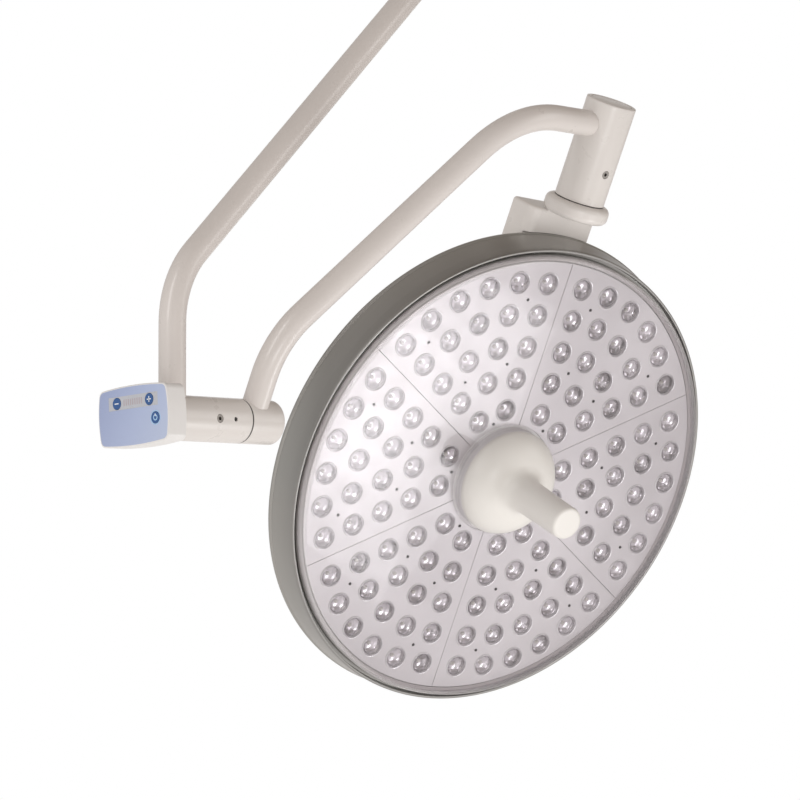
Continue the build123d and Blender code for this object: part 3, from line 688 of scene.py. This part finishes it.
def bored(piece, matrix, bores):
    """Cuts radial holes of (angle, height, diameter) into a turned housing."""
    for angle, height, diameter in bores:
        bm = bmesh.new()
        corners = ((0, BORE_FLOOR), (diameter / 2, BORE_FLOOR), (diameter / 2, BORE_END), (0, BORE_END))
        lathe(bm, [Vector(corner) * MM for corner in corners], Matrix.Identity(4), 40, False)
        place = matrix @ Matrix.Rotation(radians(angle), 4, "Z") @ Matrix.Translation((0, 0, height * MM))
        bmesh.ops.transform(bm, matrix=place @ Matrix.Rotation(pi / 2, 4, "X"), verts=bm.verts)
        bmesh.ops.recalc_face_normals(bm, faces=bm.faces)
        mesh = bpy.data.meshes.new("bore")
        bm.to_mesh(mesh)
        bm.free()
        tool = bpy.data.objects.new("bore", mesh)
        bpy.context.scene.collection.objects.link(tool)
        cut = piece.modifiers.new("cut", "BOOLEAN")
        cut.operation = "DIFFERENCE"
        cut.solver = "EXACT"
        cut.object = tool
        bpy.context.view_layer.update()
        graph = bpy.context.evaluated_depsgraph_get()
        result = bpy.data.meshes.new_from_object(piece.evaluated_get(graph))
        piece.modifiers.remove(cut)
        piece.data = result
        bpy.data.objects.remove(tool)
    for face in piece.data.polygons:
        face.use_smooth = True
    piece.data.set_sharp_from_angle(angle=SHARP)
    return piece


def ringed(corners, pitch=7.0):
    """The outline with extra corners along its long straight sides."""
    finer = []
    for i, (r, z, fillet) in enumerate(corners):
        finer.append((r, z, fillet))
        r2, z2, _ = corners[(i + 1) % len(corners)]
        count = int(hypot(r2 - r, z2 - z) // pitch)
        for k in range(1, count):
            finer.append((r + (r2 - r) * k / count, z + (z2 - z) * k / count, 0.0))
    return finer


BORE_R = 21.3                         # inside of every housing
CAP_SEAT_R, CAP_SEAT_DEPTH = 28.9, 5.0
KNUCKLE_R, KNUCKLE_LENGTH = 35.0, 140.4
KNUCKLE_BRAKE_HEIGHT = 46.0
TILT_R, TILT_LENGTH = 29.0, 149.8


def housing(name, node, radius, length, capped, matrix, body, bores):
    """A knuckle's bearing housing: rounded ends, its bore, radial holes, and a cap seat if capped."""
    foot = -0.9 if capped else 0.0
    outline = [(BORE_R, foot, 0.0), (radius, foot, 0.8)]
    if capped:
        seat = length - CAP_SEAT_DEPTH
        outline += [(radius, length, 2.4), (CAP_SEAT_R, length, 0.5), (CAP_SEAT_R, seat, 0.0),
                    (BORE_R, seat, 0.0)]
    else:
        outline += [(radius, length, 0.3), (BORE_R, length, 0.0)]
    piece = turned_piece(name, ringed(outline), CASTING, body, matrix, 112)
    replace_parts(bored(piece, matrix, bores), node)


housing("swivel_body", "swivel_housing", KNUCKLE_R, KNUCKLE_LENGTH, True, SWIVEL, "outer_arm",
        [(180, KNUCKLE_BRAKE_HEIGHT, BRAKE_D)])
housing("tilt_body", "tilt_housing", TILT_R, TILT_LENGTH, False, TILT_HOUSING, "outer_arm",
        [(0, 58.0, BRAKE_D), (0, 30.4, STOP_D)])
housing("turn_body", "turn_housing", KNUCKLE_R, KNUCKLE_LENGTH, True, TURN_HOUSING, "inner_arm",
        [(-7.6, KNUCKLE_BRAKE_HEIGHT, BRAKE_D)])
CAP_OUTLINE = [(0.0, 125.5, 0.0), (21.0, 125.5, 0.5), (21.0, 135.5, 0.0), (28.4, 135.5, 0.3),
               (28.4, 140.1, 0.9), (0.0, 140.1, 0.0)]
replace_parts(turned_piece("swivel_end_cap", CAP_OUTLINE, CASTING, "outer_arm", SWIVEL, 96),
            "swivel_cap")
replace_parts(turned_piece("turn_end_cap", CAP_OUTLINE, CASTING, "inner_arm", TURN_HOUSING, 96),
            "turn_cap")
hub_outline = [(18.2, -508.2, 0.0), (29.0, -508.2, 0.8), (29.0, -451.4, 9.0), (0.0, -451.4, 0.0),
               (0.0, -467.0, 0.0), (18.2, -467.0, 0.0)]
hub = turned_piece("tilt_end_hub", ringed(hub_outline), CASTING, "inner_arm", HUB, 112)
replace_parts(hub, "tilt_hub")


GAP_BAND_INNER_R = 19.2


def gap_band(name, node, radius, low, high, matrix, body):
    """The dark ring between the two halves of a knuckle."""
    outline = [(GAP_BAND_INNER_R, low, 0.0), (radius, low, 0.3), (radius, high, 0.3),
               (GAP_BAND_INNER_R, high, 0.0)]
    band = turned_piece(name, outline, BLACK, body, matrix, 96)
    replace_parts(band, node)


gap_band("swivel_band", "swivel_gap_ring", 34.6, -1.9, -0.2, SWIVEL, "outer_arm")
gap_band("tilt_band", "tilt_gap_ring", 28.7, -1.95, 0.3, TILT_HOUSING, "outer_arm")
gap_band("turn_band", "turn_gap_ring", 34.6, -1.9, -0.2, TURN_HOUSING, "inner_arm")


# ---------------------------------------------------------------- head: rim, back, cover

RIM_OUTLINE = [
    (332.6, -9.0, 0.5), (332.6, 2.0, 1.2), (336.0, 2.0, 1.4), (337.0, -2.4, 2.5), (338.2, -15.5, 12.0),
    (342.2, -42.5, 1.2), (341.2, -44.2, 0.7), (344.0, -46.6, 1.2), (343.6, -50.6, 2.0), (336.4, -55.8, 1.5),
    (332.4, -55.8, 0.5), (338.4, -50.0, 2.0), (334.6, -19.0, 2.0), (329.0, -12.0, 2.0), (312.0, -12.0, 0.5),
    (312.0, -3.0, 0.5), (328.0, -3.0, 0.5), (328.0, -9.0, 0.5),
]
rim = turned_piece("rim", RIM_OUTLINE, RIM, "lamp_head", segments=256)
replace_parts(rim, "rim_ring")

BACK_OUTLINE = [
    (335.0, -56.0, 0.8), (324.5, -66.0, 12.0), (290.0, -85.5, 40.0), (168.0, -103.0, 60.0),
    (60.0, -107.0, 20.0),
    (58.0, -108.0, 0.8), (0.0, -108.0, 0.0), (0.0, -105.0, 0.0), (60.0, -104.0, 20.0), (166.0, -100.0, 60.0),
    (288.0, -82.5, 40.0), (321.5, -64.5, 12.0), (332.0, -56.0, 0.8),
]
back = turned_piece("back_shell", BACK_OUTLINE, BACK_WHITE, "lamp_head", segments=192)
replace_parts(back, "back_cover")

COVER_OUTLINE = [
    (324.5, -1.5, 0.3), (327.0, -1.5, 0.3), (327.0, 13.0, 11.5), (80.4, 13.0, 0.8), (80.0, 17.0, 0.9),
    (77.0, 17.0, 0.9), (77.0, 6.5, 0.4), (80.0, 6.5, 0.4), (80.0, 10.5, 0.8), (324.5, 10.5, 9.0),
]
CENTRE_OUTLINE = [(72.8, -6.0, 0.3), (81.6, -6.0, 0.3), (81.6, -3.1, 0.3), (75.2, -3.1, 0.5),
                  (75.2, 13.6, 0.4), (72.8, 13.6, 0.4)]
turned_piece("centre_ring", CENTRE_OUTLINE, BOX_WHITE, "lamp_head", segments=128)
cover = turned_piece("clear_cover", COVER_OUTLINE, COVER, "lamp_head", segments=256, steps=8)
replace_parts(cover, "front_cover")


# ---------------------------------------------------------------- head: lens panels

PANEL_R, PANEL_HOLE_R, PANEL_GAP, PANEL_T = 318.0, 80.0, 1.2, 3.0
LENS_D = 33.0
CUP_D = 28.5
LENS_ROWS = (2, 3, 4, 5, 6)                 # lenses in each row, from the handle outwards
FIRST_ROW_R, ROW_PITCH = 44.5, 46.6         # of the rows, about their common centre
FAN_CENTRE, FAN_ANGLE = 62.0, 60.2          # the centre's place on the midline, and the rows' spread
SCREW_HOLE_R = 1.9
SCREW_SPOTS = ((264.0, -17.8), (264.0, 17.8), (172.6, -11.5), (172.6, 11.5), (88.0, 0.0))
PANEL_TURNS = [radians(30 + 60 * i) for i in range(6)]


def lens_spots():
    """Lens centres on one panel: rows fan out about a point on its midline."""
    spots = []
    for row, count in enumerate(LENS_ROWS):
        radius = FIRST_ROW_R + ROW_PITCH * row
        for i in range(count):
            angle = radians(FAN_ANGLE * (i / (count - 1) - 0.5))
            spots.append(Vector((radius * sin(angle), FAN_CENTRE + radius * cos(angle))))
    return spots


def screw_places():
    """Screw centres on one panel, from (radius, angle)."""
    return [Vector((-r * sin(radians(a)), r * cos(radians(a)))) for r, a in SCREW_SPOTS]


def sector_outline(inner, outer, gap, steps=40):
    """Outline of one sixth of a ring about +Y, with half the gap on each side."""
    half = radians(30.0)
    points = []
    for radius, way in ((outer, 1), (inner, -1)):
        shy = gap / 2 / radius
        for i in range(steps + 1):
            angle = (half - shy) * (2 * i / steps - 1) * way
            points.append(Vector((radius * sin(angle), radius * cos(angle))))
    return points


def circle_points(centre, radius, steps):
    return [centre + Vector((cos(2 * pi * i / steps), sin(2 * pi * i / steps))) * radius
            for i in range(steps)]


def plate_with_holes(outline, holes, thickness, bevel):
    """A flat plate cut from a filled curve, with softened edges, as mesh."""
    curve = bpy.data.curves.new("plate", "CURVE")
    curve.dimensions = "2D"
    curve.fill_mode = "BOTH"
    curve.extrude = (thickness / 2 - bevel) * MM
    curve.bevel_depth = bevel * MM
    curve.bevel_resolution = 1
    for loop in [outline] + holes:
        spline = curve.splines.new("POLY")
        spline.points.add(len(loop) - 1)
        spline.use_cyclic_u = True
        for point, place in zip(spline.points, loop):
            point.co = (place.x * MM, place.y * MM, 0, 1)
    holder = bpy.data.objects.new("plate", curve)
    bpy.context.scene.collection.objects.link(holder)
    bpy.context.view_layer.update()
    graph = bpy.context.evaluated_depsgraph_get()
    mesh = bpy.data.meshes.new_from_object(holder.evaluated_get(graph))
    bpy.data.objects.remove(holder)
    return mesh


spots = lens_spots()
panel_holes = [circle_points(p, CUP_D / 2, 24)[::-1] for p in spots]
panel_holes += [circle_points(p, SCREW_HOLE_R, 12)[::-1] for p in screw_places()]
panel_outline = sector_outline(PANEL_HOLE_R, PANEL_R, PANEL_GAP)
panel_mesh = plate_with_holes(panel_outline, panel_holes, PANEL_T, 0.35)
for number, turn in enumerate(PANEL_TURNS):
    bm = bmesh.new()
    bm.from_mesh(panel_mesh)
    place = HEAD @ Matrix.Rotation(turn, 4, "Z") @ Matrix.Translation((0, 0, -PANEL_T / 2 * MM))
    bmesh.ops.transform(bm, matrix=place, verts=bm.verts)
    plate = new_piece(f"panel_plate_{number + 1}", bm, PANEL, "lamp_head", smooth=False)
    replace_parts(plate, f"lens_panel_{number + 1}")


def head_points(places, height):
    """The same places on all six panels, in head coordinates."""
    points = []
    for turn in PANEL_TURNS:
        spin = Matrix.Rotation(turn, 2)
        for p in places:
            q = spin @ p
            points.append(Vector((q.x, q.y, height)) * MM)
    return points


def unit_lathe(corners, segments):
    """A small turned shape in units of its own diameter and height."""
    bm = bmesh.new()
    lathe(bm, [Vector((r, z)) for r, z in corners], Matrix.Identity(4), segments, False)
    return bm


DOME = [(0.0, 1.0), (0.15, 0.965), (0.28, 0.86), (0.37, 0.69), (0.425, 0.46), (0.445, 0.22), (0.475, 0.17),
        (0.5, 0.08), (0.5, -0.06), (0.0, -0.06)]
EDGE = [(0.458, -0.2), (0.460, 0.6), (0.468, 0.95), (0.480, 1.0), (0.492, 0.75), (0.5, 0.2), (0.5, -0.2)]
CUP = [(0.5, 0.05), (0.485, -0.30), (0.43, -0.68), (0.31, -0.92), (0.14, -1.0), (0.0, -1.0)]
CHIP_DOME = [(0.0, 1.0), (0.22, 0.88), (0.40, 0.58), (0.5, 0.0)]
SCREW_TOP = [(0.0, -0.35), (0.13, -0.35), (0.16, 0.85), (0.24, 1.0), (0.42, 0.85), (0.5, 0.3), (0.5, -0.6)]
LENS_LAYERS = (   # piece, outline, segments, finish, height on the panel, its own diameter and height
    ("lens_domes", DOME, 24, LENS, 0.5, LENS_D * 0.94, 6.6),
    ("lens_edges", EDGE, 28, LENS_EDGE, 0.0, LENS_D + 0.6, 1.5),
    ("lens_cups", CUP, 20, REFLECTOR, -0.2, CUP_D, 9.0),
    ("led_chips", CHIP_DOME, 14, CHIP, -9.2, 6.5, 3.2),
)
for name, outline, segments, finish, level, across, high in LENS_LAYERS:
    repeated(name, unit_lathe(outline, segments), finish, head_points(spots, level),
             (across * MM, high * MM), HEAD, "lamp_head")
panel_screws = repeated("panel_screw_heads", unit_lathe(SCREW_TOP, 16), DARK_SCREW,
                        head_points(screw_places(), 0.0), (4.4 * MM, 1.1 * MM), HEAD, "lamp_head")
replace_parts(panel_screws, "panel_screws")


# ---------------------------------------------------------------- handle

def arc_three(a, b, c, steps):
    """Points on the circle through three points, from the first to the last."""
    a, b, c = Vector(a), Vector(b), Vector(c)
    d = 2 * (a.x * (b.y - c.y) + b.x * (c.y - a.y) + c.x * (a.y - b.y))
    aa, bb, cc = a.length_squared, b.length_squared, c.length_squared
    centre = Vector(((aa * (b.y - c.y) + bb * (c.y - a.y) + cc * (a.y - b.y)) / d,
                     (aa * (c.x - b.x) + bb * (a.x - c.x) + cc * (b.x - a.x)) / d))
    start = atan2(*(a - centre).yx)
    end = atan2(*(c - centre).yx)
    radius = (a - centre).length
    angles = [start + (end - start) * i / steps for i in range(steps + 1)]
    return [centre + Vector((cos(angle), sin(angle))) * radius for angle in angles]


def bezier(a, b, c, d, steps):
    """Points along a cubic curve, without its first."""
    points = []
    for i in range(1, steps + 1):
        t = i / steps
        points.append(a * (1 - t) ** 3 + b * 3 * t * (1 - t) ** 2 + c * 3 * t * t * (1 - t) + d * t ** 3)
    return points


# (radius, height) in millimetres: outside from the dome's foot to the tip, then inside back down
GRIP_STEPS = 6
dome_foot = Vector((75.5, 18.0))
dome_line = arc_three(dome_foot, (63.4, 37.8), (39.5, 49.9), 18)
flare = bezier(dome_line[-1], dome_line[-1] + Vector((-9.0, 2.6)), Vector((25.0, 58.0)),
               Vector((24.5, 71.0)), 12)
grip_line = [Vector((24.5 - 1.5 * i / GRIP_STEPS, 71.0 + 87.0 * i / GRIP_STEPS))
             for i in range(1, GRIP_STEPS + 1)]
tip_line = bezier(Vector((23.0, 158.0)), Vector((22.9, 161.5)), Vector((21.2, 163.0)),
                  Vector((18.0, 163.0)), 6)
inside_line = arc_three((36.5, 46.6), (60.8, 35.4), (72.5, 18.0), 12)
handle_outline = [Vector((0, 163.0)), Vector((17.0, 163.0))] + tip_line[::-1] + grip_line[::-1] + flare[::-1]
handle_outline += dome_line[::-1] + [Vector((75.5, 14.4)), Vector((75.1, 14.0)), Vector((72.5, 14.0))]
handle_outline += inside_line[::-1] + [Vector((13.9, 46.6)), Vector((13.9, 142.0)), Vector((0.0, 142.0))]
bm = bmesh.new()
lathe(bm, [p * MM for p in handle_outline], HEAD, 128, False)
handle = new_piece("handle_shell", bm, HANDLE, "handle")
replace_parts(handle, "sterile_handle")


# ---------------------------------------------------------------- control panel

def bar(cx, cy, width, height, steps=1, corner=0.0):
    """A flat rounded bar as an outline."""
    points = []
    for sx, sy, start in ((1, 1, 0), (-1, 1, 90), (-1, -1, 180), (1, -1, 270)):
        for i in range(steps + 1):
            angle = radians(start + 90 * i / steps)
            points.append(Vector((cx + sx * (width / 2 - corner) + corner * cos(angle),
                                  cy + sy * (height / 2 - corner) + corner * sin(angle))) * MM)
    return points


def flat_symbol(name, outlines, low, high, mat, body):
    """A raised sign on the control panel."""
    bm = bmesh.new()
    for outline in outlines:
        outline_prism(bm, outline, low * MM, high * MM, BOX, 0.00008, 1)
    return new_piece(name, bm, mat, body, smooth=False)


BUTTONS = {"dimmer_down": (-29.2, 17.4), "dimmer_up": (30.1, 17.5), "power": (40.5, -6.4)}
KEY_OUTLINE = [(0.0, 0.30, 0.0), (6.2, 0.34, 0.3), (7.0, 0.5, 0.2), (7.3, 0.2, 0.2), (7.3, -4.0, 0.1),
               (9.0, -4.0, 0.2), (9.0, -5.0, 0.2), (2.5, -5.2, 0.2), (2.5, -9.4, 0.2), (0.0, -9.4, 0.0)]
SIGN_BARS = {"dimmer_down": 1, "dimmer_up": 2}      # the minus has one bar, the plus has two
SIGN_LENGTH, SIGN_WIDTH = 7.4, 1.5
for body, (x, y) in BUTTONS.items():
    spot = BOX @ Matrix.Translation((x * MM, y * MM, 0))
    cap = turned_piece(body + "_key", KEY_OUTLINE, BUTTON, body, spot, 64, False, 3)
    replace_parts(cap, body + "_button")
    sign = [bar(x, y, SIGN_LENGTH, SIGN_WIDTH, 3, 0.5), bar(x, y, SIGN_WIDTH, SIGN_LENGTH, 3, 0.5)]
    if body in SIGN_BARS:
        flat_symbol(body + "_sign", sign[:SIGN_BARS[body]], 0.25, 0.46, SYMBOL, body)

power_x, power_y = BUTTONS["power"]
power_spot = BOX @ Matrix.Translation((power_x * MM, power_y * MM, 0))
turned_piece("power_sign", [(2.4, 0.28, 0.0), (2.4, 0.48, 0.1), (3.9, 0.48, 0.1), (3.9, 0.28, 0.0)],
             BUTTON_RING, "power", power_spot, 48)
flat_symbol("power_stroke", [bar(power_x, power_y + 3.2, 1.2, 3.6, 3, 0.4)], 0.27, 0.5, SYMBOL, "power")
turned_piece("power_ring", [(7.9, 0.0, 0.0), (7.9, 0.12, 0.05), (9.1, 0.12, 0.05), (9.1, 0.0, 0.0)],
             BUTTON_RING, "outer_arm", power_spot, 64)

BAR_COUNT, BAR_PITCH, BAR_LENGTH, BAR_T = 9, 4.0, 8.0, 0.06
BAR_SHAPE = Matrix.Diagonal((0.25, 1.0, 1.0, 1.0))      # a quarter as wide as long
bars = [Vector((-16.0 + BAR_PITCH * i, 17.5, -0.20)) * MM for i in range(BAR_COUNT)]
block = bmesh.new()
square = [Vector((0.5, 0.5)), Vector((-0.5, 0.5)), Vector((-0.5, -0.5)), Vector((0.5, -0.5))]
outline_prism(block, square, 0.0, 1.0, BAR_SHAPE)
repeated("level_bars", block, BAR, bars, (BAR_LENGTH * MM, BAR_T * MM), BOX, "outer_arm")


# ---------------------------------------------------------------- stage, lights, camera

def white_stage():
    """Matt white floor with a weak glow of its own."""
    p = Paint("stage_white", (0.95, 0.95, 0.95), 0.9,
              Emission_Color=(1.0, 1.0, 1.0, 1.0), Emission_Strength=0.42)
    p.colour(p.ramp(p.noise(p.local(), 0.4, 1.0), (0.0, (0.94, 0.94, 0.94)), (1.0, (0.96, 0.96, 0.96))))
    return p.mat


FLOOR_Z = -2.6
FLOOR_HALF = 12.0
bm = bmesh.new()
corners = [bm.verts.new((x * FLOOR_HALF, y * FLOOR_HALF, FLOOR_Z))
           for x, y in ((-1, -1), (1, -1), (1, 1), (-1, 1))]
bm.faces.new(corners)
floor_mesh = bpy.data.meshes.new("floor")
bm.to_mesh(floor_mesh)
bm.free()
floor_mesh.materials.append(white_stage())
floor = bpy.data.objects.new("floor", floor_mesh)
bpy.context.scene.collection.objects.link(floor)

scene = bpy.context.scene
scene.view_settings.view_transform = "Standard"
world = bpy.data.worlds.new("studio")
scene.world = world
world.use_nodes = True
sky = world.node_tree
backdrop = sky.nodes["Background"]
direction = sky.nodes.new("ShaderNodeTexCoord")


def sky_slope(axis, stops):
    """Colours over the sky, from the far end of an axis to its near end."""
    dot = sky.nodes.new("ShaderNodeVectorMath")
    dot.operation = "DOT_PRODUCT"
    dot.inputs[1].default_value = axis
    sky.links.new(direction.outputs["Generated"], dot.inputs[0])
    level = sky.nodes.new("ShaderNodeMath")
    level.operation = "MULTIPLY_ADD"
    level.inputs[1].default_value = 0.5
    level.inputs[2].default_value = 0.5
    sky.links.new(dot.outputs["Value"], level.inputs[0])
    ramp = sky.nodes.new("ShaderNodeValToRGB")
    while len(ramp.color_ramp.elements) < len(stops):
        ramp.color_ramp.elements.new(0.5)
    for element, (place, colour) in zip(ramp.color_ramp.elements, stops):
        element.position = place
        element.color = (*colour, 1.0)
    sky.links.new(level.outputs[0], ramp.inputs["Fac"])
    return ramp.outputs["Color"]


AHEAD = (0.729, 0.681, 0.065)         # where the camera looks, and where the sky is plain white
room = sky_slope((-0.49, 0.37, -0.79),
                 ((0.0, (0.27, 0.225, 0.19)), (0.5, (0.47, 0.44, 0.42)), (1.0, (0.80, 0.80, 0.79))))
screen = sky_slope(AHEAD, ((0.955, (0.0, 0.0, 0.0)), (0.985, (1.0, 1.0, 1.0))))
blend = sky.nodes.new("ShaderNodeMix")
blend.data_type = "RGBA"
sky.links.new(screen, blend.inputs[0])
sky.links.new(room, blend.inputs[6])
blend.inputs[7].default_value = (1.0, 1.0, 1.0, 1.0)
sky.links.new(blend.outputs[2], backdrop.inputs["Color"])
backdrop.inputs["Strength"].default_value = 1.0


def soft_box(name, place, aim, size, power, colour=(1, 1, 1)):
    """A rectangular lamp at a place, turned to its aim."""
    data = bpy.data.lights.new(name, "AREA")
    data.shape = "RECTANGLE"
    data.size, data.size_y = size
    data.energy = power
    data.color = colour
    lamp = bpy.data.objects.new(name, data)
    lamp.location = place
    lamp.rotation_euler = (Vector(aim) - Vector(place)).to_track_quat("-Z", "Y").to_euler()
    lamp.visible_camera = False
    scene.collection.objects.link(lamp)


soft_box("key", (-3.6, -0.4, 0.9), (0, 0, -0.7), (0.5, 2.4), 26, (1.0, 0.99, 0.98))
soft_box("fill", (2.4, -3.2, 0.3), (0, 0, -0.7), (0.9, 2.4), 14, (1.0, 0.99, 0.98))
soft_box("front", (-2.2, -3.8, -2.0), (0, 0, -0.8), (1.2, 0.9), 17)
for width, height, power in ((0.20, 0.34, 1.0), (0.30, 0.50, 1.6), (0.42, 0.68, 2.2)):
    soft_box("cover_glow", (0.40, -1.12, -1.66), (-0.27, -0.02, -0.76), (width, height), power)

camera_data = bpy.data.cameras.new("camera")
camera_data.lens = 153.47
camera_data.sensor_width = 36.0
camera_data.shift_y = -0.0175
camera = bpy.data.objects.new("camera", camera_data)
right = Vector((0.68302, -0.73039, -0.00239))
up = Vector((-0.04552, -0.04583, 0.99791))
ahead = Vector((0.72898, 0.68149, 0.06455))
facing = Matrix((right, up, -ahead)).transposed().to_4x4()
camera.matrix_world = Matrix.Translation((-3.5592, -3.1360, -1.0381)) @ facing
scene.collection.objects.link(camera)
scene.camera = camera
